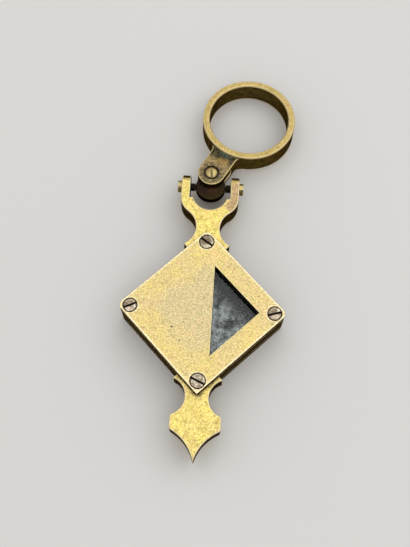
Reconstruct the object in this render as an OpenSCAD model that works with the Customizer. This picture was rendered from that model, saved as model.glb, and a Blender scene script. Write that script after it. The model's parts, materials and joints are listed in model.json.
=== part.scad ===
// Pendulum reflecting level: a square brass case with a mirror behind a window on each face,
// hung from a finger ring by a small joint that swings two ways.
// It lies face up: +Z is up, +Y runs from the drop weight to the ring, and the origin is the
// centre of the back cover's outer face. Millimetres and degrees.

/* [Case] */
// Side of the square case
case_side = 31.75; // [30:0.25:38]
// Thickness of each cover plate
cover_t = 2.4; // [2:0.1:2.8]
// Depth of the frame, the yoke and the drop weight
frame_t = 6.4; // [5.6:0.1:9]
// Side of the square bay that holds the mirrors
bay_side = 23.2; // [22:0.1:23.6]
// Radius of the case's left and right corners, and of each cover's top corner
case_corner_r = 1.6; // [0.4:0.1:2.4]

/* [Window] */
// Border between the window's slanting edges and the case's edge
window_border = 5.3; // [5:0.1:7]
// Distance of the window's upright edge from the centre line
window_offset = 2.65; // [1:0.05:6]

/* [Mirrors] */
// Thickness of each mirror's glass
glass_t = 1.8; // [1:0.1:2.4]
// Thickness of the silvering and its protective coat
silvering_t = 0.12; // [0.05:0.01:0.2]
// Clearance between the mirrors and the sides of the bay
mirror_clearance = 0.15; // [0.05:0.05:0.4]

/* [Cover screws] */
// Distance of each cover screw from the case's two nearest edges
screw_inset = 2.4; // [2.3:0.05:2.6]
// Head diameter of the screws at the left and right corners
side_head_d = 3.8; // [3.6:0.1:4.4]
// Head diameter of the screws at the yoke's corner
yoke_head_d = 4; // [3.6:0.1:4.4]
// Head diameter of the screws at the drop weight's corner
drop_head_d = 4.1; // [3.6:0.1:4.5]
// Shank diameter of the cover screws
screw_d = 2; // [1.6:0.1:2.2]
// Length of the cover screws
screw_length = 4.9; // [4.2:0.1:5.3]
// Rim of a countersunk head above its cone
head_rim = 0.15; // [0.05:0.05:0.3]

/* [Yoke] */
// Distance from the case's top corner to the trunnion axis
yoke_reach = 15.15; // [14:0.05:18]
// Distance across the outer sides of the arms
yoke_width = 16.2; // [15.6:0.2:18]
// Thickness of each arm
arm_t = 2.45; // [2:0.05:2.8]
// Radius of the round shoulder below each arm
shoulder_r = 5.6; // [5:0.1:6.4]
// Distance from the trunnion axis down to the shoulder's centre
shoulder_drop = 4.2; // [3.6:0.1:5]
// Width of the neck at its narrowest
neck_width = 6.6; // [6:0.1:8]
// Height of the neck's narrowest point above the case's top corner
neck_rise = 1.75; // [1:0.05:2]
// Radius of the rounded floor between the arms
saddle_r = 4.85; // [4.4:0.05:5]
// Depth of that floor below the trunnion axis
saddle_depth = 7.95; // [7.5:0.05:8.6]
// Distance that the arms' inner faces run below the trunnion axis
arm_face_drop = 4.45; // [3.6:0.05:5]
// Length of the seat along each edge of the case
yoke_seat = 6.8; // [6:0.1:8]

/* [Drop weight] */
// Length from the case's bottom corner to the tip
drop_length = 16.75; // [16:0.25:22]
// Width of the neck at its narrowest
drop_neck_width = 6.2; // [5.6:0.1:7.6]
// Radius of the hollows beside the neck
drop_neck_r = 4.9; // [4.4:0.1:5.4]
// Distance of the neck's narrowest point below the case's bottom corner
drop_neck_drop = 0.3; // [0:0.05:1]
// Width of the weight across its shoulders
drop_width = 13.2; // [12:0.2:14]
// Length of the weight's straight sides
drop_side = 2.5; // [1.5:0.1:4]
// Radius of the weight's rounded shoulders
drop_shoulder_r = 0.9; // [0.4:0.1:1.4]
// Radius of the hollow curves that run to the tip
drop_point_r = 12; // [11:0.5:20]
// Length of the seat along each edge of the case
drop_seat = 7.7; // [6.5:0.1:8.2]

/* [Swivel block] */
// Thickness of the block between the fork's ears
block_t = 2; // [1.9:0.1:2.3]
// Width of the block along the trunnion axis
block_width = 8.4; // [7.4:0.1:9]
// Distance from the trunnion axis to the pivot axis
pivot_offset = 3.75; // [3.2:0.05:4.5]
// Radius of the block's end around the pivot
block_nose_r = 3.8; // [3.2:0.1:4]

/* [Trunnion screws] */
// Head diameter
trunnion_head_d = 3.3; // [2.8:0.1:4]
// Head height outside the arm
trunnion_head_t = 1.2; // [0.9:0.1:1.6]
// Shank diameter, up to the shoulder that meets the block
trunnion_shank_d = 2.2; // [1.8:0.1:2.4]
// Diameter of the bearing pin
trunnion_pin_d = 1.2; // [0.9:0.1:1.4]
// Length of the bearing pin
trunnion_pin_length = 2.4; // [1.6:0.1:3]

/* [Ring and fork] */
// Bore of the finger ring
ring_bore_d = 22.9; // [20:0.1:24]
// Wall of the finger ring
ring_wall = 1.95; // [1.5:0.05:2.5]
// Height of the finger ring along its axis
ring_height = 6.4; // [5.8:0.1:7]
// Bevel on the ring's edges
ring_bevel = 0.3; // [0.1:0.05:0.5]
// Distance from the pivot axis to the ring's centre
ring_reach = 20.7; // [19.6:0.05:24]
// Radius of the fork's ears, and half the width of its stem
ear_r = 3.85; // [3.6:0.05:4]
// Thickness of each ear
ear_t = 1.4; // [1.2:0.05:1.5]
// Radius of the hollow in which each ear's face rises to the ring
ear_rise_r = 5; // [2:0.5:8]
// Radius of the coves where the stem meets the ring
cove_r = 2.5; // [1.5:0.1:3]

/* [Pivot screw] */
// Shank diameter
pivot_d = 2; // [1.6:0.1:2.2]
// Head diameter
pivot_head_d = 3.3; // [2.8:0.1:3.8]
// Height of the head's straight side
pivot_head_t = 0.45; // [0.3:0.05:0.6]
// Rise of the head's dome
pivot_dome = 0.4; // [0.2:0.05:0.6]
// Diameter of the shallow counterbore around the head
counterbore_d = 4.5; // [4.3:0.1:5]
// Depth of that counterbore
counterbore_t = 0.45; // [0.3:0.05:0.6]

/* [Slots and fits] */
// Width of the screwdriver slots
slot_w = 0.6; // [0.3:0.05:0.7]
// Depth of the screwdriver slots
slot_depth = 0.5; // [0.3:0.05:0.6]
// Radial clearance of the bearing pin and the pivot
running_fit = 0.04; // [0.02:0.01:0.08]
// Side play between the block and what holds it
side_play = 0.05; // [0.03:0.01:0.1]
// Radial clearance of the fixed screws in their holes
screw_fit = 0.02; // [0.01:0.01:0.04]
// Clearance between the block's nose and the bottom of the fork's slot
nose_clearance = 0.4; // [0.3:0.05:0.6]

/* [Pose] */
// Angle by which the ring lies to the right of the centre line
ring_swing = 28.5; // [0:0.5:40]

/* [Hidden] */
$fn = 96;
// A cut runs this far past the face that it opens
past = 1;
// A cut that only has to reach past the whole part
far = 60;
// A hollow is cut this much larger than the circle that would just touch the shoulder beside it
bite = 0.005;

// Case
half_side = case_side / 2;
corner = half_side * sqrt(2);
case_t = frame_t + 2 * cover_t;
mid_z = case_t / 2;
mirror_side = bay_side - 2 * mirror_clearance;
pad_t = frame_t - 2 * (glass_t + silvering_t);
window_tip = corner - window_border * sqrt(2);
screw_reach = (half_side - screw_inset) * sqrt(2);
screw_hole_depth = screw_length - cover_t + screw_fit;

// Yoke; the hollows beside its neck touch the shoulders' arcs
trunnion_y = corner + yoke_reach;
arm_inner = yoke_width / 2 - arm_t;
yoke_shoulder = [yoke_width / 2 - shoulder_r, trunnion_y - shoulder_drop];
neck_y = corner + neck_rise;
neck_step = neck_width / 2 - yoke_shoulder.x;
neck_r = (pow(neck_step, 2) + pow(yoke_shoulder.y - neck_y, 2) - pow(shoulder_r, 2))
    / (2 * (shoulder_r - neck_step));
yoke_neck = [neck_width / 2 + neck_r, neck_y];

// Drop weight, drawn upwards; the shoulders touch the hollows beside the neck
tip = [0, corner + drop_length];
drop_neck = [drop_neck_width / 2 + drop_neck_r, corner + drop_neck_drop];
shoulder_in = drop_width / 2 - drop_shoulder_r;
upper_shoulder = [
    shoulder_in,
    drop_neck.y + sqrt(pow(drop_neck_r + drop_shoulder_r, 2) - pow(drop_neck.x - shoulder_in, 2))
];
lower_shoulder = upper_shoulder + [0, drop_side];
// The hollow curve passes through the tip and touches the lower shoulder
drop_point = circles_meet(tip, drop_point_r, lower_shoulder, drop_point_r + drop_shoulder_r);

// Joint
block_x = block_width / 2;
shoulder_in_x = block_x + side_play;
slot_half = block_t / 2 + side_play;
ear_face = slot_half + ear_t;
fork_slot_y = block_nose_r + nose_clearance;
head_seat = ear_face - counterbore_t;

// Ring
ring_r = ring_bore_d / 2 + ring_wall;
cove_y = ring_reach - sqrt(pow(ring_r + cove_r, 2) - pow(ear_r + cove_r, 2));
cove_end_x = (ear_r + cove_r) * ring_r / (ring_r + cove_r);
fork_face = ring_height / 2 - ring_bevel;
ear_rise = sqrt(pow(ear_rise_r, 2) - pow(ear_rise_r - fork_face + ear_face, 2));
ear_rise_y = ring_reach - ring_r - ear_rise;
// The ring's far lower edge rests on the ground
far_y = pivot_offset + ring_reach * cos(ring_swing) + ring_r;
ring_dip = asin(mid_z / norm([far_y, ring_height / 2])) - atan2(ring_height / 2, far_y);

// Slot directions
yoke_slot_angle = -34;
left_slot_angle = 24;
right_slot_angle = 17;
drop_slot_angle = -24;
back_slot_step = 50;
pivot_slot_angle = 123;
trunnion_slot_angle = 35;

// The point where a circle about a touches a circle about b
function touching(a, a_r, b, b_r) = a + (b - a) * a_r / (a_r + b_r);

// The right-hand point where a circle about a meets a circle about b
function circles_meet(a, a_r, b, b_r) =
    let (
        gap = norm(b - a),
        along = (gap * gap + a_r * a_r - b_r * b_r) / (2 * gap),
        aside = sqrt(a_r * a_r - along * along),
        dir = (b - a) / gap
    )
    a + along * dir + aside * (dir.y < 0 ? [-dir.y, dir.x] : [dir.y, -dir.x]);

module diamond() {
    rotate(45) square(case_side, center = true);
}

// The case's outline; each angle names a corner to round: 0 top, 90 left, 180 bottom, 270 right
module case_outline(rounded) {
    rotate(45) difference() {
        square(case_side, center = true);
        for (turn = rounded)
            rotate(turn) translate([half_side - case_corner_r, half_side - case_corner_r])
                difference() {
                    square(case_corner_r + past);
                    circle(case_corner_r);
                }
    }
}

module window_outline() {
    polygon([
        [window_offset, window_tip - window_offset],
        [window_offset, window_offset - window_tip],
        [window_tip, 0]
    ]);
}

// A screw with its head's top at z = 0
module countersunk(head_d, clearance) {
    head_r = head_d / 2 + clearance;
    shank_r = screw_d / 2 + clearance;
    cone = (head_d - screw_d) / 2;
    translate([0, 0, -head_rim]) cylinder(h = head_rim, r = head_r);
    translate([0, 0, -head_rim - cone]) cylinder(h = cone, r1 = shank_r, r2 = head_r);
    translate([0, 0, -screw_length]) cylinder(h = screw_length - head_rim - cone, r = shank_r);
}

// The hole for such a screw, open above z = 0
module screw_hole(head_d) {
    countersunk(head_d, screw_fit);
    translate([0, 0, -head_rim]) cylinder(h = head_rim + past, d = head_d + 2 * screw_fit);
}

module cover_screw(head_d, slot_angle) {
    difference() {
        countersunk(head_d, 0);
        slot(head_d, slot_angle);
    }
}

// A screwdriver slot sunk from z = 0
module slot(head_d, angle) {
    rotate(angle) translate([-head_d, -slot_w / 2, -slot_depth]) cube([2 * head_d, slot_w, slot_depth + past]);
}

// A cover lying on z = 0 with its outer face up
module cover() {
    difference() {
        linear_extrude(cover_t) difference() {
            case_outline([0, 90, 270]);
            window_outline();
        }
        for (side = [-1, 1])
            translate([side * screw_reach, 0, cover_t]) screw_hole(side_head_d);
        translate([0, screw_reach, cover_t]) screw_hole(yoke_head_d);
        translate([0, -screw_reach, cover_t]) screw_hole(drop_head_d);
    }
}

// Turns a piece of the front over to the back of the case
module at_back() {
    translate([0, 0, case_t]) rotate([0, 180, 0]) children();
}

module front_cover() {
    color("#b39a63") translate([0, 0, case_t - cover_t]) cover();
}

module back_cover() {
    color("#a58d5a") at_back() translate([0, 0, case_t - cover_t]) cover();
}

module case_frame() {
    color("#5f4a2c") translate([0, 0, cover_t]) difference() {
        linear_extrude(frame_t) difference() {
            case_outline([90, 270]);
            rotate(45) square(bay_side, center = true);
        }
        for (turn = [0:90:270], floor_z = [-past, frame_t - screw_hole_depth])
            rotate(turn) translate([0, screw_reach, floor_z])
                cylinder(h = screw_hole_depth + past, d = screw_d + 2 * screw_fit);
    }
}

// A foot on the case's top corner, with a waist that rises to two round shoulders
module waisted_foot(seat, neck, neck_r, shoulder, shoulder_r) {
    touch = touching(shoulder, shoulder_r, neck, neck_r);
    difference() {
        union() {
            intersection() {
                translate([-neck.x, 0]) square([2 * neck.x, touch.y]);
                rotate(45) translate([half_side - seat, half_side - seat]) square(far);
            }
            translate([-shoulder.x, neck.y]) square([2 * shoulder.x, shoulder.y + shoulder_r - neck.y]);
            for (side = [-1, 1]) translate([side * shoulder.x, shoulder.y]) circle(shoulder_r);
        }
        for (side = [-1, 1]) translate([side * neck.x, neck.y]) circle(neck_r + bite);
        diamond();
    }
}

module yoke_outline() {
    difference() {
        union() {
            waisted_foot(yoke_seat, yoke_neck, neck_r, yoke_shoulder, shoulder_r);
            translate([-yoke_width / 2, yoke_shoulder.y]) square([yoke_width, far]);
        }
        translate([0, trunnion_y - saddle_depth + saddle_r]) circle(saddle_r);
        translate([-arm_inner, trunnion_y - arm_face_drop]) square([2 * arm_inner, 2 * far]);
    }
}

// The arms' ends are round about the trunnion axis
module yoke_side() {
    translate([trunnion_y, mid_z]) circle(frame_t / 2);
    translate([0, cover_t]) square([trunnion_y, frame_t]);
}

module yoke() {
    color("#b08c45") difference() {
        intersection() {
            translate([0, 0, cover_t]) linear_extrude(frame_t) yoke_outline();
            rotate([90, 0, 90]) translate([0, 0, -yoke_width]) linear_extrude(2 * yoke_width) yoke_side();
        }
        translate([-yoke_width, trunnion_y, mid_z]) rotate([0, 90, 0])
            cylinder(h = 2 * yoke_width, d = trunnion_shank_d + 2 * screw_fit);
    }
}

module drop_outline() {
    touch = touching(lower_shoulder, drop_shoulder_r, drop_point, drop_point_r);
    waisted_foot(drop_seat, drop_neck, drop_neck_r, upper_shoulder, drop_shoulder_r);
    difference() {
        union() {
            translate([-drop_width / 2, upper_shoulder.y]) square([drop_width, drop_side]);
            for (side = [-1, 1])
                translate([side * lower_shoulder.x, lower_shoulder.y]) circle(drop_shoulder_r);
            translate([-touch.x, upper_shoulder.y]) square([2 * touch.x, tip.y - upper_shoulder.y]);
        }
        for (side = [-1, 1])
            translate([side * drop_point.x, drop_point.y]) circle(drop_point_r + bite);
    }
}

module drop_weight() {
    color("#b08c45") translate([0, 0, cover_t]) rotate(180) linear_extrude(frame_t) drop_outline();
}

// A square sheet in the mirror bay, with its upper face at height top
module bay_sheet(top, thickness) {
    translate([0, 0, top - thickness]) rotate(45) linear_extrude(thickness) square(mirror_side, center = true);
}

module front_mirror_glass() {
    color("#8fa3ad") bay_sheet(case_t - cover_t, glass_t);
}

module front_silvering() {
    color("#c8ccd0") bay_sheet(case_t - cover_t - glass_t, silvering_t);
}

module packing_pad() {
    color("#6b5a48") bay_sheet(mid_z + pad_t / 2, pad_t);
}

module back_silvering() {
    color("#c8ccd0") bay_sheet(mid_z - pad_t / 2, silvering_t);
}

module back_mirror_glass() {
    color("#8fa3ad") bay_sheet(cover_t + glass_t, glass_t);
}

module side_screws(left_angle, right_angle) {
    translate([-screw_reach, 0, case_t]) cover_screw(side_head_d, left_angle);
    translate([screw_reach, 0, case_t]) cover_screw(side_head_d, right_angle);
}

module side_screws_front() {
    color("#9c938c") side_screws(left_slot_angle, right_slot_angle);
}

module side_screws_back() {
    color("#9c938c") at_back() side_screws(left_slot_angle + back_slot_step, right_slot_angle - back_slot_step);
}

module yoke_screw_front() {
    color("#9c938c") translate([0, screw_reach, case_t]) cover_screw(yoke_head_d, yoke_slot_angle);
}

module yoke_screw_back() {
    color("#9c938c") at_back() translate([0, screw_reach, case_t])
        cover_screw(yoke_head_d, yoke_slot_angle + back_slot_step);
}

module drop_screw_front() {
    color("#9c938c") translate([0, -screw_reach, case_t]) cover_screw(drop_head_d, drop_slot_angle);
}

module drop_screw_back() {
    color("#9c938c") at_back() translate([0, -screw_reach, case_t])
        cover_screw(drop_head_d, drop_slot_angle - back_slot_step);
}

// A shouldered screw along +X, with the outer face of its head at x = 0 after the turn
module trunnion_screw() {
    shoulder_from_head = yoke_width / 2 - shoulder_in_x;
    translate([yoke_width / 2 + trunnion_head_t, trunnion_y, mid_z]) rotate([0, 90, 0]) {
        difference() {
            translate([0, 0, -trunnion_head_t]) cylinder(h = trunnion_head_t, d = trunnion_head_d);
            slot(trunnion_head_d, trunnion_slot_angle);
        }
        translate([0, 0, -trunnion_head_t - shoulder_from_head])
            cylinder(h = shoulder_from_head, d = trunnion_shank_d);
        translate([0, 0, -trunnion_head_t - shoulder_from_head - side_play - trunnion_pin_length])
            cylinder(h = trunnion_pin_length + side_play, d = trunnion_pin_d);
    }
}

module right_trunnion_screw() {
    color("#8d857c") trunnion_screw();
}

module left_trunnion_screw() {
    color("#8d857c") mirror([1, 0, 0]) trunnion_screw();
}

// The block's own frame: the trunnion axis is its X axis
module on_trunnion() {
    translate([0, trunnion_y, mid_z]) rotate([-ring_dip, 0, 0]) children();
}

// The ring's own frame: the pivot axis is its Z axis, and +Y runs to the ring's centre
module on_pivot() {
    on_trunnion() translate([0, pivot_offset, 0]) rotate(-ring_swing) children();
}

module swivel_block() {
    color("#574a33") on_trunnion() difference() {
        translate([0, 0, -block_t / 2]) linear_extrude(block_t) {
            circle(block_x);
            translate([0, pivot_offset]) circle(block_nose_r);
            translate([-block_nose_r, 0]) square([2 * block_nose_r, pivot_offset]);
        }
        translate([-block_width, 0, 0]) rotate([0, 90, 0])
            cylinder(h = 2 * block_width, d = trunnion_pin_d + 2 * running_fit);
        translate([0, pivot_offset, -block_t]) cylinder(h = 2 * block_t, d = pivot_d + 2 * running_fit);
    }
}

module pivot_screw() {
    head_r = pivot_head_d / 2;
    dome_r = (pow(head_r, 2) + pow(pivot_dome, 2)) / (2 * pivot_dome);
    head_top = pivot_head_t + pivot_dome;
    color("#9c938c") on_pivot() {
        translate([0, 0, head_seat]) difference() {
            intersection() {
                cylinder(h = head_top, r = head_r);
                translate([0, 0, head_top - dome_r]) sphere(dome_r);
            }
            translate([0, 0, head_top]) slot(pivot_head_d, pivot_slot_angle);
        }
        translate([0, 0, -ear_face]) cylinder(h = ear_face + head_seat, d = pivot_d);
    }
}

module fork_outline() {
    difference() {
        union() {
            circle(ear_r);
            translate([-ear_r, 0]) square([2 * ear_r, ring_reach]);
            translate([-cove_end_x, cove_y]) square([2 * cove_end_x, ring_reach - cove_y]);
        }
        for (side = [-1, 1]) translate([side * (ear_r + cove_r), cove_y]) circle(cove_r);
        translate([0, ring_reach]) circle(ring_r);
    }
}

// The fork seen from the side, with the ears to the left
module fork_side() {
    difference() {
        translate([-far, -fork_face]) square([2 * far, 2 * fork_face]);
        for (side = [0, 1]) mirror([0, side]) {
            translate([ear_rise_y - far, ear_face]) square(far);
            translate([ear_rise_y, ear_face + ear_rise_r]) circle(ear_rise_r);
        }
    }
}

module ring_fork() {
    color("#7d6a3a") on_pivot() difference() {
        intersection() {
            translate([0, 0, -fork_face]) linear_extrude(2 * fork_face) fork_outline();
            rotate([90, 0, 90]) translate([0, 0, -far]) linear_extrude(2 * far) fork_side();
        }
        translate([-2 * ear_r, -2 * ear_r, -slot_half]) cube([4 * ear_r, 2 * ear_r + fork_slot_y, 2 * slot_half]);
        translate([0, 0, -ear_face - past])
            cylinder(h = 2 * ear_face + 2 * past, d = pivot_d + 2 * screw_fit);
        translate([0, 0, head_seat]) cylinder(h = counterbore_t + past, d = counterbore_d);
    }
}

module finger_ring() {
    bore_r = ring_bore_d / 2;
    half_height = ring_height / 2;
    color("#7d6a3a") on_pivot() translate([0, ring_reach, 0]) rotate_extrude($fn = 180) polygon([
        [bore_r, ring_bevel - half_height],
        [bore_r + ring_bevel, -half_height],
        [ring_r - ring_bevel, -half_height],
        [ring_r, ring_bevel - half_height],
        [ring_r, half_height - ring_bevel],
        [ring_r - ring_bevel, half_height],
        [bore_r + ring_bevel, half_height],
        [bore_r, half_height - ring_bevel]
    ]);
}

front_cover();
back_cover();
case_frame();
yoke();
drop_weight();
front_mirror_glass();
front_silvering();
packing_pad();
back_silvering();
back_mirror_glass();
side_screws_front();
side_screws_back();
yoke_screw_front();
yoke_screw_back();
drop_screw_front();
drop_screw_back();
left_trunnion_screw();
right_trunnion_screw();
swivel_block();
pivot_screw();
ring_fork();
finger_ring();
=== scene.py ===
"""The looks of the pendulum level: rounded and worn edges with painted highlights, aged brass with painted
shade on its walls, old mirrors, a plain studio.
"""
import json
import math

import bmesh
import bpy
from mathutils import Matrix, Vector

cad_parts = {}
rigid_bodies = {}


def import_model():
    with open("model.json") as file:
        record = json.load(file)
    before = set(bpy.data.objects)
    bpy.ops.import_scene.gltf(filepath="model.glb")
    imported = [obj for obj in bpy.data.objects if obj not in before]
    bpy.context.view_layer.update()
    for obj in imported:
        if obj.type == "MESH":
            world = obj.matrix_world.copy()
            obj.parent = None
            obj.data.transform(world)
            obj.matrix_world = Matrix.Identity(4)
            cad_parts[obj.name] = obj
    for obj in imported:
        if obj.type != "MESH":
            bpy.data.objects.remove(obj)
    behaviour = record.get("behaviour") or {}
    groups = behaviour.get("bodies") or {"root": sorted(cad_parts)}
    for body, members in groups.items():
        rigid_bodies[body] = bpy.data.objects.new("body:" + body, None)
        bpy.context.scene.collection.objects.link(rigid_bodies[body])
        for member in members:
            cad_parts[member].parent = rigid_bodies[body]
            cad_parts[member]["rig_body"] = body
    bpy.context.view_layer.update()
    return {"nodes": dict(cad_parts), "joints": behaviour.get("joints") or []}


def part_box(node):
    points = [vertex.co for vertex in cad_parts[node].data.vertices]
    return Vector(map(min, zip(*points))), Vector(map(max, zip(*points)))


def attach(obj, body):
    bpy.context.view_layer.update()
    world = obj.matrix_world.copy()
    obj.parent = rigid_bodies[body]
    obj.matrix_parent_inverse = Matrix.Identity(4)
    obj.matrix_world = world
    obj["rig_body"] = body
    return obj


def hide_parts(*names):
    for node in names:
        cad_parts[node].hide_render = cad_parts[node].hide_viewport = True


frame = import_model()
nodes = frame["nodes"]

MM = 0.001
CASE_CORNER = -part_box("case_frame")[0].y
joints = {joint["name"]: joint for joint in frame["joints"]}
PIVOT_AT = Vector(joints["pivot_hinge"]["pos_m"])
PIVOT_AXIS = Vector(joints["pivot_hinge"]["axis"])
TRUNNION_AT = Vector(joints["trunnion_hinge"]["pos_m"])
UP = Vector((0, 0, 1))
RIGHT = Vector((1, 0, 0))
CORNER_SCREWS = ("yoke_screw_", "drop_screw_")


def middle(name):
    """The centre of a node's box."""
    low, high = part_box(name)
    return (low + high) / 2


def half_width(name):
    """Half a node's size across the case."""
    low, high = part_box(name)
    return (high.x - low.x) / 2


def screw_holes():
    """The place and radius of each screw's hole in the front cover, in millimetres."""
    holes = []
    for name in ("yoke_screw_front", "drop_screw_front"):
        holes.append((0, middle(name).y / MM, half_width(name) / MM))
    low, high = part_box("side_screws_front")
    radius = (high.y - low.y) / 2
    for x in (low.x + radius, high.x - radius):
        holes.append((x / MM, 0, radius / MM))
    return holes


RING_AT = middle("finger_ring")
RING_R = half_width("finger_ring")

# Camera: held over the level, a little towards the drop weight, in pixels, millimetres and degrees
FRAME_PX = (410, 547)
FOCAL_PX = 799.2
SENSOR_MM = 36
CAMERA_AT = Vector((3.6, -59.6, 212.5)) * MM
CAMERA_TURN_DEG = (19.08, -0.24, 3.58)
CLIP_START = 0.01

# Edges sharper than this are rounded and rubbed bright with a painted highlight, and what is left above
# the crease angle stays sharp
SHARP = math.radians(30)
CREASE = math.radians(50)
# Facets that meet more flatly than this are one face
FLAT = math.radians(0.3)
# Points nearer than this are one point
WELD = 1e-7
# Facets shorter than this are welded away before fine edges are rounded
FINE_WELD = 0.06 * MM

# Widths of the rounded edges
COVER_ROUND = 0.11 * MM
COVER_HOLE_ROUND = 0.05 * MM
FRAME_ROUND = 0.12 * MM
CASTING_ROUND = 0.26 * MM
HEAD_ROUND = 0.12 * MM
SLOT_ROUND = 0.05 * MM
DOME_ROUND = 0.07 * MM
BLOCK_ROUND = 0.25 * MM
FORK_ROUND = 0.24 * MM
RING_ROUND = 0.12 * MM

# How near to a bore's line an edge belongs to the bore
HOLE_REACH = 2.4 * MM
COUNTERBORE_REACH = 2.4 * MM
BLOCK_BORE_REACH = 1.6 * MM
# How near to the ring an edge of the fork belongs to their joint
RING_JOINT_REACH = 0.4 * MM
# How near to the square case's outline an edge is on it, measured as |x| + |y|
OUTLINE_REACH = 1.6 * MM
# How far from the block's middle its upper and lower edges start
BLOCK_MIDDLE = 0.9 * MM
# How near an edge lies to the height of a head's top, and to the head's rim, to be on it
TOP_REACH = 0.05 * MM
RIM_REACH = 0.03 * MM
# The pivot screw's domed top stands less than this above its rim
DOME_RISE = 0.45 * MM
# Faces this far below a head's top are in its slot
SLOT_FLOOR = 0.45 * MM
# A head's slot ends within the first share of its radius, and its rim lies between the two
HEAD_INNER = 0.9
HEAD_OUTER = 1.1
# A face is a wall when it faces the axis less than the first, and level when more than the second
WALL_BELOW = 0.3
LEVEL_ABOVE = 0.98
OBLIQUE_BELOW = 0.95
# The counterbore's height above the pivot's middle, and its dirt
COUNTERBORE_LOW = 1.5 * MM
COUNTERBORE_HIGH = 2.4 * MM
COUNTERBORE_DIRT = 0.8
PIVOT_SLOT_DIRT = 0.55
# How far a silvering reaches into the glass
HAIR = 0.02 * MM
# Depths of the metal's grain and the felt's fibres
GRAIN_DEPTH = 0.012 * MM
FIBRE_DEPTH = 0.08 * MM

# Colours, linear
COVER = (0.72, 0.585, 0.265)
COVER_WARM = (0.76, 0.615, 0.23)
COVER_DULL = (0.50, 0.41, 0.20)
COVER_PINK = (0.84, 0.56, 0.30)
COVER_COOL = (0.62, 0.52, 0.29)
CAST = (0.81, 0.66, 0.22)
CAST_WARM = (0.85, 0.695, 0.20)
CAST_DULL = (0.50, 0.38, 0.12)
CAST_PINK = (0.46, 0.31, 0.17)
RING = (0.52, 0.40, 0.14)
RING_WARM = (0.58, 0.44, 0.18)
RING_DULL = (0.40, 0.30, 0.10)
FORK = (0.25, 0.20, 0.10)
FORK_WARM = (0.34, 0.25, 0.11)
FORK_DULL = (0.09, 0.07, 0.045)
FORK_SHADE = (0.030, 0.026, 0.014)
FORK_ORANGE = (0.34, 0.21, 0.07)
# Rubbed brass on edges, made pale and creamy as a painted highlight
RUBBED_HIGHLIGHT = (0.97, 0.84, 0.53)
RUBBED_GOLD_HIGHLIGHT = (0.84, 0.67, 0.32)
# Wall colours: dark patina, made darker still as painted shade on the sides
WALL = (0.110, 0.076, 0.028)
WALL_DARK = (0.034, 0.023, 0.010)
WALL_SHEEN = (0.22, 0.16, 0.08)
WALL_GOLD = (0.33, 0.24, 0.10)
RING_WALL = (0.150, 0.108, 0.034)
BROWN = (0.16, 0.10, 0.05)
BROWN_DARK = (0.05, 0.032, 0.016)
# Near black: dirt in slots, pits and the counterbore, and painted shade on screw heads' sides, in the gaps
# round them and on the window walls
GRIME_AND_SHADE = (0.010, 0.008, 0.005)
# The swivel block: dark patina made near black as painted shade deep in the yoke's U, and red-brown
# tarnish carrying a painted reddish sheen
BLOCK = (0.020, 0.014, 0.009)
RUST_AND_SHEEN = (0.09, 0.035, 0.02)
VERDIGRIS = (0.035, 0.06, 0.05)
PINKISH = (1.10, 0.93, 1.12)
YELLOWISH = (0.97, 1.05, 0.80)
STEEL = (0.46, 0.38, 0.28)
STEEL_WARM = (0.70, 0.62, 0.47)
STEEL_BRIGHT = (0.80, 0.74, 0.60)
STEEL_DULL = (0.15, 0.11, 0.07)
SCREW_BRASS = (0.50, 0.40, 0.18)
# Near black: the silvering's blots, and painted shade and a painted reflection of the window wall along
# its upper edges
SILVER_DARK = (0.006, 0.007, 0.008)
SILVER_MIST = (0.25, 0.27, 0.262)
SILVER_SPECK = (0.55, 0.58, 0.58)
GLASS = (0.93, 0.97, 0.98)
FELT_DARK = (0.10, 0.07, 0.05)
FELT_LIGHT = (0.24, 0.18, 0.13)
FLOOR = (0.80, 0.79, 0.77)
SKY = (1, 0.99, 0.97, 1)
UNTINTED = (1, 1, 1)

# Light and floor, in metres and watts
SKY_STRENGTH = 0.6
KEY_AT = (0.22, 0.22, 0.95)
KEY_SIZE = 1.6
KEY_POWER = 5.1
FLOOR_SIZE = 6
FLOOR_GAP = 0.02 * MM

# Marks, in millimetres in the frame's own place
WINDOW_BORDER = 5.3
WINDOW_TIP = CASE_CORNER / MM - WINDOW_BORDER * math.sqrt(2)
WINDOW_MARGIN = 1
COVER_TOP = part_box("front_cover")[1].z / MM
CASTING_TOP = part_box("yoke")[1].z / MM
SEAM_FROM_MIDDLE = CASTING_TOP - COVER_TOP / 2
COVER_PIT = Vector((-7.7, -5.2, COVER_TOP))
SCREW_HOLES = screw_holes()
# Each as x, y and radius
CASTING_STAINS = (
    (5.3, -28.9, 0.5), (4.8, -32.1, 0.35), (3.4, -33.5, 0.2), (-4.6, -28.9, 0.2), (-4.5, -31.5, 0.3),
    (-4.6, 30, 0.15))
CASTING_BLUSH = ((6.9, 36.4, 1.2), (6.9, 33.4, 1.3), (6, 30.9, 0.9))
PIVOT_MARK = PIVOT_AT / MM + PIVOT_AXIS * 2.5
RING_MARK = RING_AT / MM + PIVOT_AXIS * 3.4
# Each as x and y from the pivot's mark, radius and colour
FORK_STAINS = (
    (4.0, 5.6, 0.6, VERDIGRIS), (3.0, 6.4, 0.4, VERDIGRIS), (2.2, 4.0, 0.3, FORK_ORANGE),
    (3.6, 3.6, 0.5, FORK_ORANGE))
YOKE_SCREW_STAIN = Vector((-0.6, 19.8, COVER_TOP))
RUST_AND_SHEEN_AT = TRUNNION_AT / MM + Vector((0.5, -0.8, 1.1))


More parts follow.
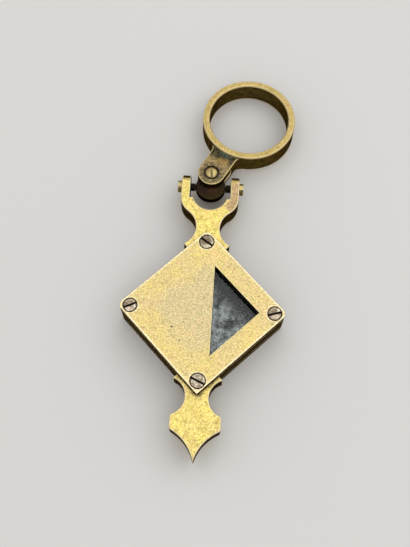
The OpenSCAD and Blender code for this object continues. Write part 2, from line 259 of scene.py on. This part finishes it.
class Shader:
    """A material's node tree, with a short call for each kind of node."""

    def __init__(self, name):
        self.material = bpy.data.materials.new(name)
        self.material.use_nodes = True
        self.tree = self.material.node_tree
        self.principled = self.tree.nodes["Principled BSDF"]
        place = self.node("ShaderNodeTexCoord")
        scale = self.node("ShaderNodeVectorMath", operation="SCALE")
        self.link(place.outputs["Object"], scale.inputs[0])
        scale.inputs["Scale"].default_value = 1 / MM
        self.place = scale.outputs[0]
        self.normal = place.outputs["Normal"]

    def node(self, kind, **settings):
        made = self.tree.nodes.new(kind)
        for key, value in settings.items():
            setattr(made, key, value)
        return made

    def link(self, source, target):
        self.tree.links.new(source, target)

    def feed(self, socket, value):
        """Sets a socket to a number, a colour or another node's output."""
        if isinstance(value, bpy.types.NodeSocket):
            self.link(value, socket)
        elif isinstance(value, (tuple, list)) and len(value) == 3 and socket.type == "RGBA":
            socket.default_value = (*value, 1)
        else:
            socket.default_value = value

    def math(self, operation, *values):
        made = self.node("ShaderNodeMath", operation=operation)
        for socket, value in zip(made.inputs, values):
            self.feed(socket, value)
        return made.outputs[0]

    def smooth(self, value, low, high):
        """0 below low, 1 above high and an even blend between."""
        made = self.node("ShaderNodeMapRange", interpolation_type="SMOOTHSTEP")
        self.feed(made.inputs["Value"], value)
        made.inputs["From Min"].default_value = low
        made.inputs["From Max"].default_value = high
        return made.outputs[0]

    def noise(self, size, detail=3, stretch=(1, 1, 1), shift=0, rough=0.5):
        """Noise between 0 and 1 whose features are about size millimetres across."""
        mapping = self.node("ShaderNodeMapping")
        self.link(self.place, mapping.inputs["Vector"])
        mapping.inputs["Location"].default_value = (shift, shift, shift)
        mapping.inputs["Scale"].default_value = [1 / s for s in stretch]
        made = self.node("ShaderNodeTexNoise")
        self.link(mapping.outputs[0], made.inputs["Vector"])
        made.inputs["Scale"].default_value = 1 / size
        made.inputs["Detail"].default_value = detail
        made.inputs["Roughness"].default_value = rough
        return made.outputs["Fac"]

    def mix(self, factor, first, second, blend="MIX"):
        made = self.node("ShaderNodeMix", data_type="RGBA", blend_type=blend)
        self.feed(made.inputs["Factor"], factor)
        self.feed(made.inputs[6], first)
        self.feed(made.inputs[7], second)
        return made.outputs[2]

    def scaled(self, colour, amount):
        made = self.node("ShaderNodeVectorMath", operation="SCALE")
        self.feed(made.inputs[0], colour)
        self.feed(made.inputs["Scale"], amount)
        return made.outputs[0]

    def attribute(self, name):
        return self.node("ShaderNodeAttribute", attribute_name=name).outputs["Fac"]

    def parts(self, vector):
        """A vector's three components."""
        split = self.node("ShaderNodeSeparateXYZ")
        self.link(vector, split.inputs[0])
        return split.outputs

    def upward(self):
        """1 on faces that lie flat, 0 on walls and round ends."""
        return self.smooth(self.math("ABSOLUTE", self.parts(self.normal)[2]), 0.86, 0.94)

    def outside_case(self):
        """Distance in millimetres from the square case's edge, seen from above, negative within it."""
        x, y, _ = self.parts(self.place)
        away = self.math("ADD", self.math("ABSOLUTE", x), self.math("ABSOLUTE", y))
        return self.math("DIVIDE", self.math("SUBTRACT", away, CASE_CORNER / MM), math.sqrt(2))

    def from_upright(self, x, y):
        """Distance in millimetres from an upright line."""
        across = self.node("ShaderNodeVectorMath", operation="MULTIPLY")
        self.link(self.place, across.inputs[0])
        across.inputs[1].default_value = (1, 1, 0)
        away = self.node("ShaderNodeVectorMath", operation="DISTANCE")
        self.link(across.outputs[0], away.inputs[0])
        away.inputs[1].default_value = (x, y, 0)
        return away.outputs["Value"]

    def from_screw_hole(self):
        """Distance in millimetres from the rim of the nearest cover screw's hole, negative within it."""
        nearest = None
        for x, y, radius in SCREW_HOLES:
            away = self.math("SUBTRACT", self.from_upright(x, y), radius)
            nearest = self.math("MINIMUM", nearest, away) if nearest else away
        return nearest

    def distance(self, at):
        """Distance in millimetres from a point."""
        away = self.node("ShaderNodeVectorMath", operation="DISTANCE")
        self.link(self.place, away.inputs[0])
        away.inputs[1].default_value = at
        return away.outputs["Value"]

    def spot(self, at, radius, fade, ragged=0.4, size=0.8):
        """1 within radius of a point, with a ragged edge that fades out."""
        uneven = self.math("SUBTRACT", self.noise(size, 4, shift=at[0]), 0.5)
        wobble = self.math("MULTIPLY", uneven, 4 * ragged)
        reach = self.math("ADD", self.distance(at), wobble)
        return self.math("SUBTRACT", 1, self.smooth(reach, radius, radius + fade))

    def bump(self, height, depth):
        made = self.node("ShaderNodeBump")
        made.inputs["Strength"].default_value = 1
        made.inputs["Distance"].default_value = depth
        self.link(height, made.inputs["Height"])
        return made.outputs[0]

    def finish(self, colour, roughness, metallic, normal=None):
        self.feed(self.principled.inputs["Base Color"], colour)
        self.feed(self.principled.inputs["Roughness"], roughness)
        if metallic is not None:
            self.principled.inputs["Metallic"].default_value = metallic
        if normal:
            self.link(normal, self.principled.inputs["Normal"])
        return self.material


def aged_metal(
        name, tones, wall, rubbed_and_highlit=RUBBED_HIGHLIGHT, speckle=0.6, wear_and_glint=0.85, patchy=0.3, tint=0.5, marks=None,
        gloss=0.34):
    """Aged brass or steel: grainy faces, walls dark with patina and painted shade and with fine file
    lines, edges rubbed bright with a painted highlight, and dirt with painted shade.

    marks adds a piece's own marks to the colour of its faces."""
    s = Shader(name)
    plain, warm, dull = tones
    # A face's tones drift, with clouds and blots of the dull one, a change of hue and dark pits
    face = s.mix(s.smooth(s.noise(7, 2), 0.35, 0.65), plain, warm)
    clouds = s.smooth(s.noise(1.8, 4, shift=5), 0.48, 0.7)
    face = s.mix(s.math("MULTIPLY", clouds, 0.2), face, dull)
    blots = s.smooth(s.noise(0.7, 3, shift=21), 0.52, 0.68)
    face = s.mix(s.math("MULTIPLY", blots, 0.6 * speckle), face, dull)
    hues = s.smooth(s.noise(0.9, 3, shift=33), 0.3, 0.7)
    face = s.mix(tint, face, s.mix(hues, PINKISH, YELLOWISH), "MULTIPLY")
    pits = s.smooth(s.noise(0.8, 2, shift=9), 0.66, 0.72)
    face = s.mix(s.math("MULTIPLY", pits, 0.7), face, BROWN, "DARKEN")
    if marks:
        face = marks(s, face)
    grain = s.smooth(s.noise(0.45, 5, rough=0.75), 0.34, 0.66)
    face = s.mix(s.math("MULTIPLY", s.math("POWER", grain, 3), 0.2 * speckle), face, rubbed_and_highlit)
    face = s.scaled(face, s.math("ADD", 1 - speckle / 2, s.math("MULTIPLY", grain, speckle)))
    # Walls are dark with patina and painted shade, tarnished in patches over fine upright file lines
    lines = s.smooth(s.noise(0.3, 3, stretch=(1, 1, 6)), 0.35, 0.7)
    tarnish = s.smooth(s.noise(1.4, 6, shift=4, rough=0.7), 0.4, 0.66)
    side = s.mix(s.math("MULTIPLY", tarnish, 0.7), wall(s) if callable(wall) else wall, WALL_DARK)
    side = s.scaled(side, s.math("SUBTRACT", 1.1, s.math("MULTIPLY", lines, 0.2)))
    # Level faces take the face colour, walls the darker wall colour: painted shade on the walls
    flat = s.upward()
    colour = s.mix(flat, side, face)
    # Rounded edges are rubbed bright in patches with a painted highlight, and dirt and painted shade lie
    # over everything
    rub_and_glint_patches = s.smooth(s.noise(0.9, 3, shift=2), patchy, patchy + 0.25)
    worn_and_highlit = s.math("MULTIPLY", s.attribute("worn_and_highlit"), rub_and_glint_patches)
    worn_and_highlit = s.math("MULTIPLY", worn_and_highlit, wear_and_glint)
    colour = s.mix(worn_and_highlit, colour, rubbed_and_highlit)
    grime_and_shade = s.attribute("grime_and_shade")
    colour = s.mix(grime_and_shade, colour, GRIME_AND_SHADE)
    clean_and_unshaded = s.math("SUBTRACT", 1, grime_and_shade)
    bare = s.math("MULTIPLY", s.math("MAXIMUM", flat, worn_and_highlit), clean_and_unshaded)
    roughness = s.math("ADD", gloss, s.math("MULTIPLY", clouds, 0.14))
    roughness = s.math("ADD", roughness, s.math("MULTIPLY", s.math("SUBTRACT", 1, bare), 0.12))
    height = s.math("SUBTRACT", s.math("MULTIPLY", grain, 0.4), pits)
    s.feed(s.principled.inputs["Metallic"], s.math("SUBTRACT", 1, s.math("MULTIPLY", grime_and_shade, 0.9)))
    s.feed(s.principled.inputs["Specular Tint"], s.mix(bare, WALL_SHEEN, UNTINTED))
    return s.finish(colour, roughness, None, s.bump(height, GRAIN_DEPTH))


def cover_wall(s):
    """A cover's side, dark with patina and painted shade, with a golden line where it meets the case:
    rubbed brass under a painted highlight.
    """
    height = s.parts(s.place)[2]
    from_middle = s.math("ABSOLUTE", s.math("SUBTRACT", height, COVER_TOP / 2))
    from_seam = s.math("SUBTRACT", from_middle, SEAM_FROM_MIDDLE)
    # Painted highlight along the seam with the case, over rubbed brass
    line = s.math("SUBTRACT", 1, s.smooth(from_seam, 0.9, 1.4))
    patches = s.smooth(s.noise(3, 3, shift=40), 0.3, 0.5)
    return s.mix(s.math("MULTIPLY", line, patches), WALL_DARK, WALL_GOLD)


def cover_marks(s, face):
    """A duller middle, pinkish clouds, a painted highlight on rubbed metal around the screws with a ring
    of dirt and painted shade at each hole's edge, a deep pit and an outline rubbed bright with a painted
    highlight."""
    uneven = s.math("MULTIPLY", s.math("SUBTRACT", s.noise(6, 3), 0.5), 10)
    inward = s.math("ADD", s.outside_case(), uneven)
    inner = s.math("SUBTRACT", 1, s.smooth(inward, -9, -4))
    face = s.mix(s.math("MULTIPLY", inner, 0.75), face, COVER_COOL)
    pink = s.smooth(s.noise(4, 3, shift=12), 0.5, 0.7)
    face = s.mix(s.math("MULTIPLY", pink, 0.3), face, COVER_PINK)
    from_hole = s.math("ADD", s.from_screw_hole(), s.math("MULTIPLY", s.noise(0.9, 3, shift=8), 0.2))
    # Painted highlight on rubbed metal around each screw hole
    halo = s.math("SUBTRACT", 1, s.smooth(from_hole, 0.45, 0.75))
    face = s.mix(s.math("MULTIPLY", halo, 0.55), face, RUBBED_HIGHLIGHT)
    # Dirt and painted shade of the gap at each screw hole's edge
    ring = s.math("SUBTRACT", 1, s.smooth(from_hole, 0.14, 0.32))
    face = s.mix(s.math("MULTIPLY", ring, 0.9), face, BROWN_DARK)
    face = s.mix(s.spot(COVER_PIT, 0.12, 0.2, ragged=0.05), face, GRIME_AND_SHADE)
    # Painted highlight along the case's outline, on rubbed edges
    rim = s.smooth(s.outside_case(), -0.55, -0.35)
    return s.mix(s.math("MULTIPLY", rim, 0.85), face, RUBBED_HIGHLIGHT)


def casting_marks(s, face):
    """Dirt along the V where the casting meets the case, brown scratches, dull stains and a pink arm."""
    patchy = s.smooth(s.noise(1.1, 3, shift=7), 0.44, 0.6)
    seam = s.math("SUBTRACT", 1, s.smooth(s.outside_case(), 0.1, 1.3))
    face = s.mix(s.math("MULTIPLY", seam, s.math("MULTIPLY", patchy, 0.8)), face, BROWN)
    scratches = s.smooth(s.noise(0.7, 3, stretch=(1, 2.6, 1), shift=15), 0.62, 0.7)
    face = s.mix(s.math("MULTIPLY", scratches, 0.55), face, BROWN)
    for x, y, radius in CASTING_BLUSH:
        blush = s.spot(Vector((x, y, CASTING_TOP)), radius, 1.2)
        face = s.mix(s.math("MULTIPLY", blush, 0.9), face, CAST_PINK)
    for x, y, radius in CASTING_STAINS:
        stain = s.spot(Vector((x, y, CASTING_TOP)), radius, 0.4, ragged=0.2)
        face = s.mix(s.math("MULTIPLY", stain, 0.7), face, CAST_DULL)
    return face


def fork_marks(s, face):
    """Soot about the pivot screw, painted shade at the end by the ring, and verdigris and orange stains.
    """
    soot = s.smooth(s.noise(0.8, 3, shift=3), 0.4, 0.6)
    around = s.spot(PIVOT_MARK, 2.8, 1.2, ragged=0.2)
    face = s.mix(s.math("MULTIPLY", around, s.math("MULTIPLY", soot, 0.85)), face, FORK_DULL)
    # Painted shade on the fork's end by the ring
    from_ring = s.math("SUBTRACT", s.distance(RING_MARK), RING_R / MM)
    dark_end = s.math("SUBTRACT", 1, s.smooth(from_ring, 1.8, 4.3))
    face = s.mix(s.math("MULTIPLY", dark_end, 0.97), face, FORK_SHADE)
    for x, y, radius, colour in FORK_STAINS:
        stain = s.spot(PIVOT_MARK + Vector((x, y, 0)), radius, 1.1, ragged=0.25)
        face = s.mix(s.math("MULTIPLY", stain, 0.75), face, colour)
    return face


def screw_marks(s, face):
    """Bright scuffs, brown stains, more of them on the yoke's screw, and a dark ring at the rim of dirt
    and painted shade of the gap.
    """
    scuffs = s.smooth(s.noise(1.3, 3, shift=17), 0.5, 0.62)
    face = s.mix(s.math("MULTIPLY", scuffs, 0.8), face, STEEL_BRIGHT)
    stains = s.smooth(s.noise(1.1, 4, shift=30), 0.5, 0.62)
    face = s.mix(s.math("MULTIPLY", stains, 0.75), face, STEEL_DULL)
    yoke_stain = s.spot(YOKE_SCREW_STAIN, 1.3, 0.9, ragged=0.3)
    face = s.mix(s.math("MULTIPLY", yoke_stain, 0.85), face, STEEL_DULL)
    # Dirt and painted shade of the gap, just inside each head's rim
    ragged = s.math("MULTIPLY", s.math("SUBTRACT", s.noise(0.8, 3, shift=11), 0.5), 0.35)
    rim = s.smooth(s.math("ADD", s.from_screw_hole(), ragged), -0.36, -0.18)
    return s.mix(s.math("MULTIPLY", rim, 0.92), face, BROWN_DARK)


def block_marks(s, face):
    """A red-brown patch below the fork's ear: tarnish with a painted reddish sheen."""
    reddish_patch = s.spot(RUST_AND_SHEEN_AT, 0.4, 1.6, ragged=0.3)
    return s.mix(s.math("MULTIPLY", reddish_patch, 0.5), face, RUST_AND_SHEEN)


def glass_material():
    s = Shader("old_plate_glass")
    s.principled.inputs["Transmission Weight"].default_value = 1
    s.principled.inputs["IOR"].default_value = 1.5
    haze = s.smooth(s.noise(2.5, 5), 0.4, 0.8)
    roughness = s.math("ADD", 0.02, s.math("MULTIPLY", haze, 0.05))
    return s.finish(GLASS, roughness, 0)


def silvering_material():
    """Old silvering with mist, blots and specks, under painted shade and a painted reflection of the dark
    window wall: black along the window's upper outer edges, lighter further from them.
    """
    s = Shader("spotted_silvering")
    x, y, _ = s.parts(s.place)
    outward = s.math("ADD", s.math("ABSOLUTE", x), y)
    # Painted shade and a painted reflection of the window's dark wall: black along the upper outer edges,
    # fading into the mist over a few millimetres
    from_edge = s.math("DIVIDE", s.math("SUBTRACT", WINDOW_TIP, outward), math.sqrt(2))
    mist_past_edge_shade = s.math("MULTIPLY", s.smooth(from_edge, 1.8, 6.6), s.smooth(s.noise(3, 6), 0.3, 0.6))
    colour = s.mix(mist_past_edge_shade, SILVER_DARK, SILVER_MIST)
    blots = s.smooth(s.noise(1.2, 5, shift=6, rough=0.75), 0.42, 0.66)
    colour = s.mix(s.math("MULTIPLY", blots, 0.75), colour, SILVER_DARK)
    specks = s.smooth(s.noise(0.4, 3, shift=3), 0.55, 0.7)
    colour = s.mix(s.math("MULTIPLY", s.math("MULTIPLY", specks, mist_past_edge_shade), 0.6), colour, SILVER_SPECK)
    dust = s.math("MULTIPLY", specks, s.smooth(from_edge, 0.5, 1.2))
    colour = s.mix(s.math("MULTIPLY", dust, 0.22), colour, SILVER_SPECK)
    return s.finish(colour, 0.22, 1)


def felt_material():
    s = Shader("brown_felt")
    fibres = s.noise(0.25, 6)
    colour = s.mix(fibres, FELT_DARK, FELT_LIGHT)
    return s.finish(colour, 0.95, 0, s.bump(fibres, FIBRE_DEPTH))


def stand_for(name, mesh, look):
    """Makes a mesh the finished piece that takes a CAD node's place."""
    piece = bpy.data.objects.new(name + "_finished", mesh)
    bpy.context.scene.collection.objects.link(piece)
    mesh.materials.clear()
    mesh.materials.append(look)
    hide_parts(name)
    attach(piece, nodes[name]["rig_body"])
    return piece


def soften(name, look, passes, weld=WELD, grimy_and_shaded=None, rubbed_and_highlit=None):
    """A copy of a CAD node with rounded edges, which takes the node's place.

    Each pass is a width and a test of which edges it rounds, by their middle points. Two more tests tell
    how much dirt and painted shade a face holds, and which faces besides the rounded ones are rubbed
    bright with a painted highlight."""
    bm = bmesh.new()
    bm.from_mesh(nodes[name].data)
    bmesh.ops.remove_doubles(bm, verts=bm.verts, dist=weld)
    bmesh.ops.dissolve_limit(bm, angle_limit=FLAT, verts=bm.verts, edges=bm.edges)
    worn_and_highlit = bm.faces.layers.float.new("worn_and_highlit")
    dirt_and_shade = bm.faces.layers.float.new("grime_and_shade")
    sharp = [e for e in bm.edges if e.is_manifold and e.calc_face_angle() > SHARP]
    for width, where in passes:
        chosen = [e for e in sharp if e.is_valid and where((e.verts[0].co + e.verts[1].co) / 2)]
        rounded = bmesh.ops.bevel(
            bm, geom=chosen, offset=width, offset_type="OFFSET", segments=3, profile=0.5,
            affect="EDGES", clamp_overlap=False, loop_slide=True)
        for face in rounded["faces"]:
            face[worn_and_highlit] = 1
    for face in bm.faces:
        face.smooth = True
        if rubbed_and_highlit and rubbed_and_highlit(face):
            face[worn_and_highlit] = 1
        if grimy_and_shaded:
            face[dirt_and_shade] = grimy_and_shaded(face)
            face[worn_and_highlit] *= 1 - face[dirt_and_shade]
    for edge in bm.edges:
        edge.smooth = not (edge.is_manifold and edge.calc_face_angle() > CREASE)
    mesh = bpy.data.meshes.new(name + "_rounded")
    bm.to_mesh(mesh)
    bm.free()
    draft = bpy.data.objects.new(name + "_rounded", mesh)
    bpy.context.scene.collection.objects.link(draft)
    normals = draft.modifiers.new("normals", "WEIGHTED_NORMAL")
    normals.keep_sharp = True
    shape = bpy.data.meshes.new_from_object(draft.evaluated_get(bpy.context.evaluated_depsgraph_get()))
    bpy.data.objects.remove(draft)
    return stand_for(name, shape, look)


def press_on(name, glass_z, look):
    """A copy of a silvering whose face reaches a hair into the glass, so that no two faces coincide."""
    bm = bmesh.new()
    bm.from_mesh(nodes[name].data)
    low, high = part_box(name)
    hair = math.copysign(HAIR, glass_z - middle(name).z)
    face_z = high.z if hair > 0 else low.z
    for vertex in bm.verts:
        if abs(vertex.co.z - face_z) < WELD:
            vertex.co.z += hair
    mesh = bpy.data.meshes.new(name + "_pressed")
    bm.to_mesh(mesh)
    bm.free()
    return stand_for(name, mesh, look)


def aside(point, at, axis):
    """How far a point lies from a line."""
    away = point - at
    return (away - away.dot(axis) * axis).length


def turned_top(name, axis, anchor):
    """The highest point of a node along an axis, moved onto the axis."""
    reach = max((v.co - anchor).dot(axis) for v in nodes[name].data.vertices)
    return anchor + axis * reach


def at_top(tops, axis, depth=TOP_REACH):
    """Tests whether an edge's middle lies within depth of the top of a screw's head."""
    return lambda point: any(abs((point - top).dot(axis)) < depth for top in tops)


def on_rim(tops, axis, radius, depth=TOP_REACH):
    """Tests whether an edge's middle lies on the rim of a screw's head."""
    at_height = at_top(tops, axis, depth)
    return lambda point: at_height(point) and any(
        abs(aside(point, top, axis) - radius) < RIM_REACH for top in tops)


def on_slot(tops, axis, radius):
    """Tests whether an edge's middle lies on the top of a screw's slot."""
    at_height = at_top(tops, axis)
    return lambda point: at_height(point) and all(
        abs(aside(point, top, axis) - radius) > RIM_REACH for top in tops)


def slot_dirt_and_rim_shade(tops, axis, radius, rim=1, slot=1):
    """How much dirt and painted shade a screw's face holds, for heads whose tops are the points: dirt in
    its slot, and dirt with painted shade of the gap at its rim.
    """
    def dirt_and_shade(face):
        centre = face.calc_center_median()
        level = abs(face.normal.dot(axis))
        for top in tops:
            away = aside(centre, top, axis)
            sunk = (top - centre).dot(axis) > SLOT_FLOOR
            if away < HEAD_INNER * radius and (sunk or level < WALL_BELOW):
                return slot
            if HEAD_INNER * radius <= away < HEAD_OUTER * radius and level < LEVEL_ABOVE:
                return rim
        return 0
    return dirt_and_shade


def side_screw_tops(name, top_z):
    """The tops of the two side screws of one face of the case."""
    low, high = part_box(name)
    radius = (high.y - low.y) / 2
    return [Vector((x, low.y + radius, top_z)) for x in (low.x + radius, high.x - radius)]


def over(point, z):
    """The point above or below another at a given height."""
    return Vector((point.x, point.y, z))


def clear_of(holes, axis, reach):
    """Tests whether an edge's middle lies further than reach from each hole."""
    return lambda point: all(aside(point, hole, axis) > reach for hole in holes)


def hole_or_window(holes, reach):
    """How much dirt and painted shade a cover's face holds: all in its screw holes, as dirt and painted
    shade of the gaps round the heads, and on its window's walls, as painted shade.
    """
    def dirt_and_shade(face):
        centre = face.calc_center_median()
        level = abs(face.normal.z)
        if level < LEVEL_ABOVE and any(aside(centre, hole, UP) < reach for hole in holes):
            return 1
        # The window's walls are blackened as painted shade
        by_window = abs(centre.x) + abs(centre.y) < (WINDOW_TIP + WINDOW_MARGIN) * MM
        return level < WALL_BELOW and by_window
    return dirt_and_shade


def on_case_outline(point):
    """Tests whether an edge's middle lies by the outline of the square case."""
    return abs(point.x) + abs(point.y) > CASE_CORNER - OUTLINE_REACH


def everywhere(point):
    """Every edge passes this test."""
    return True


def oblique(axis):
    """Tests whether a face leans, neither square to an axis nor along it."""
    return lambda face: WALL_BELOW < abs(face.normal.dot(axis)) < OBLIQUE_BELOW


def in_counterbore(face):
    """How much dirt a face of the fork holds: much in the counterbore around the pivot screw's head."""
    centre = face.calc_center_median()
    height = (centre - PIVOT_AT).dot(PIVOT_AXIS)
    near = aside(centre, PIVOT_AT, PIVOT_AXIS) < COUNTERBORE_REACH
    return COUNTERBORE_DIRT if near and COUNTERBORE_LOW < height < COUNTERBORE_HIGH else 0


# Materials
brass_cover = aged_metal(
    "cover_brass", (COVER, COVER_WARM, COVER_DULL), cover_wall, marks=cover_marks)
brass_cast = aged_metal(
    "casting_brass", (CAST, CAST_WARM, CAST_DULL), WALL, speckle=0.65, patchy=0.2, marks=casting_marks)
brass_frame = aged_metal("frame_brass", (COVER_DULL, COVER, WALL), WALL, wear_and_glint=0.85)
brass_ring = aged_metal(
    "ring_brass", (RING, RING_WARM, RING_DULL), RING_WALL, rubbed_and_highlit=RUBBED_GOLD_HIGHLIGHT, wear_and_glint=0.9, patchy=0)
brass_fork = aged_metal(
    "fork_brass", (FORK, FORK_WARM, FORK_DULL), RING_WALL, rubbed_and_highlit=RUBBED_GOLD_HIGHLIGHT, speckle=0.7, patchy=0.1,
    marks=fork_marks)
# The swivel block: near-black patina as painted shade deep in the yoke's U, with its red-brown patch
brass_block = aged_metal(
    "block_brass", (BLOCK, WALL_DARK, WALL_DARK), WALL_DARK, rubbed_and_highlit=BROWN_DARK, speckle=0.3, wear_and_glint=0.3,
    marks=block_marks)
steel = aged_metal(
    "screw_steel", (STEEL, STEEL_WARM, STEEL_DULL), GRIME_AND_SHADE, rubbed_and_highlit=STEEL_WARM, speckle=0.7, wear_and_glint=0.5,
    marks=screw_marks, gloss=0.28)
screw_brass = aged_metal("screw_brass", (SCREW_BRASS, CAST, RING_DULL), RING_DULL, speckle=0.4, gloss=0.28)
glass = glass_material()
silver = silvering_material()
felt = felt_material()


def dress_case():
    """Rounds and ages the covers, their screws, the frame, the yoke and the drop weight."""
    case_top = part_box("front_cover")[1].z
    for side, outward, top_z in (("front", UP, case_top), ("back", -UP, 0)):
        side_tops = side_screw_tops("side_screws_" + side, top_z)
        corner_tops = [over(middle(screw + side), top_z) for screw in CORNER_SCREWS]
        tops = side_tops + corner_tops
        past_holes = clear_of(tops, UP, HOLE_REACH)
        outer_face = at_top(tops, UP)
        soften(
            side + "_cover", brass_cover,
            [(COVER_ROUND, lambda p: past_holes(p) and (outer_face(p) or on_case_outline(p))),
             (COVER_HOLE_ROUND, lambda p: outer_face(p) and not past_holes(p))],
            grimy_and_shaded=hole_or_window(tops, HOLE_REACH))
        screws = [("side_screws_" + side, side_tops)]
        screws += [(screw + side, [top]) for screw, top in zip(CORNER_SCREWS, corner_tops)]
        for name, heads in screws:
            head_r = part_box(name)[1].y - heads[0].y
            soften(
                name, steel,
                [(HEAD_ROUND, on_rim(heads, UP, head_r)), (SLOT_ROUND, on_slot(heads, UP, head_r))],
                FINE_WELD, grimy_and_shaded=slot_dirt_and_rim_shade(heads, outward, head_r))
    soften("case_frame", brass_frame, [(FRAME_ROUND, on_case_outline)])
    past_trunnion = clear_of([TRUNNION_AT], RIGHT, HOLE_REACH)
    soften("yoke", brass_cast, [(CASTING_ROUND, past_trunnion)])
    soften("drop_weight", brass_cast, [(CASTING_ROUND, everywhere)])


def dress_joint():
    """Rounds and ages the swivel block, the trunnion and pivot screws, the fork and the ring."""
    past_bores = clear_of([PIVOT_AT], PIVOT_AXIS, BLOCK_BORE_REACH)
    soften(
        "swivel_block", brass_block,
        [(BLOCK_ROUND, lambda p: past_bores(p) and abs((p - PIVOT_AT).dot(PIVOT_AXIS)) > BLOCK_MIDDLE)])
    for side, outward in (("left", -RIGHT), ("right", RIGHT)):
        name = side + "_trunnion_screw"
        low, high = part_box(name)
        head = [turned_top(name, outward, middle(name))]
        soften(
            name, screw_brass, [(HEAD_ROUND, at_top(head, RIGHT))], FINE_WELD,
            grimy_and_shaded=slot_dirt_and_rim_shade(head, outward, (high.z - low.z) / 2, rim=0))
    head = [turned_top("pivot_screw", PIVOT_AXIS, PIVOT_AT)]
    pivot_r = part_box("pivot_screw")[1].x - PIVOT_AT.x
    soften(
        "pivot_screw", screw_brass,
        [(DOME_ROUND, on_rim(head, PIVOT_AXIS, pivot_r, DOME_RISE))],
        grimy_and_shaded=slot_dirt_and_rim_shade(head, PIVOT_AXIS, pivot_r, rim=0, slot=PIVOT_SLOT_DIRT))
    past_bore = clear_of([PIVOT_AT], PIVOT_AXIS, COUNTERBORE_REACH)
    past_ring = clear_of([RING_AT], PIVOT_AXIS, RING_R + RING_JOINT_REACH)
    soften(
        "ring_fork", brass_fork,
        [(FORK_ROUND, lambda p: past_bore(p) and past_ring(p))], FINE_WELD, grimy_and_shaded=in_counterbore)
    # The ring's rounded edges and chamfers are rubbed bright with a painted highlight
    soften(
        "finger_ring", brass_ring, [(RING_ROUND, everywhere)],
        rubbed_and_highlit=oblique(PIVOT_AXIS))


def paint(name, look):
    """Gives a CAD node that keeps its shape its finished material."""
    nodes[name].data.materials.clear()
    nodes[name].data.materials.append(look)


def dress_mirrors():
    """Paints the glasses and the packing, and presses each silvering onto its glass."""
    for side in ("front", "back"):
        paint(side + "_mirror_glass", glass)
        press_on(side + "_silvering", middle(side + "_mirror_glass").z, silver)
    paint("packing_pad", felt)


def lamp(name, at, size, power):
    """A square soft lamp that faces the case."""
    data = bpy.data.lights.new(name, "AREA")
    data.shape = "SQUARE"
    data.size = size
    data.energy = power
    made = bpy.data.objects.new(name, data)
    made.location = at
    made.rotation_euler = (-Vector(at)).to_track_quat("-Z", "Y").to_euler()
    bpy.context.scene.collection.objects.link(made)


def studio():
    """A plain pale floor, a pale sky and one lamp."""
    bpy.ops.mesh.primitive_plane_add(size=FLOOR_SIZE, location=(0, 0, -FLOOR_GAP))
    floor = bpy.context.object
    floor.name = "floor"
    s = Shader("plain_floor")
    floor.data.materials.append(s.finish(FLOOR, 0.9, 0))
    world = bpy.data.worlds.new("studio")
    bpy.context.scene.world = world
    world.use_nodes = True
    background = world.node_tree.nodes["Background"]
    background.inputs["Color"].default_value = SKY
    background.inputs["Strength"].default_value = SKY_STRENGTH
    lamp("key", KEY_AT, KEY_SIZE, KEY_POWER)


def camera():
    """The photo's own view."""
    data = bpy.data.cameras.new("camera")
    data.sensor_width = SENSOR_MM
    data.lens = FOCAL_PX / max(FRAME_PX) * SENSOR_MM
    data.clip_start = CLIP_START
    made = bpy.data.objects.new("camera", data)
    made.location = CAMERA_AT
    made.rotation_euler = [math.radians(a) for a in CAMERA_TURN_DEG]
    bpy.context.scene.collection.objects.link(made)
    bpy.context.scene.camera = made


dress_case()
dress_joint()
dress_mirrors()
studio()
camera()
bpy.context.scene.view_settings.view_transform = "Standard"
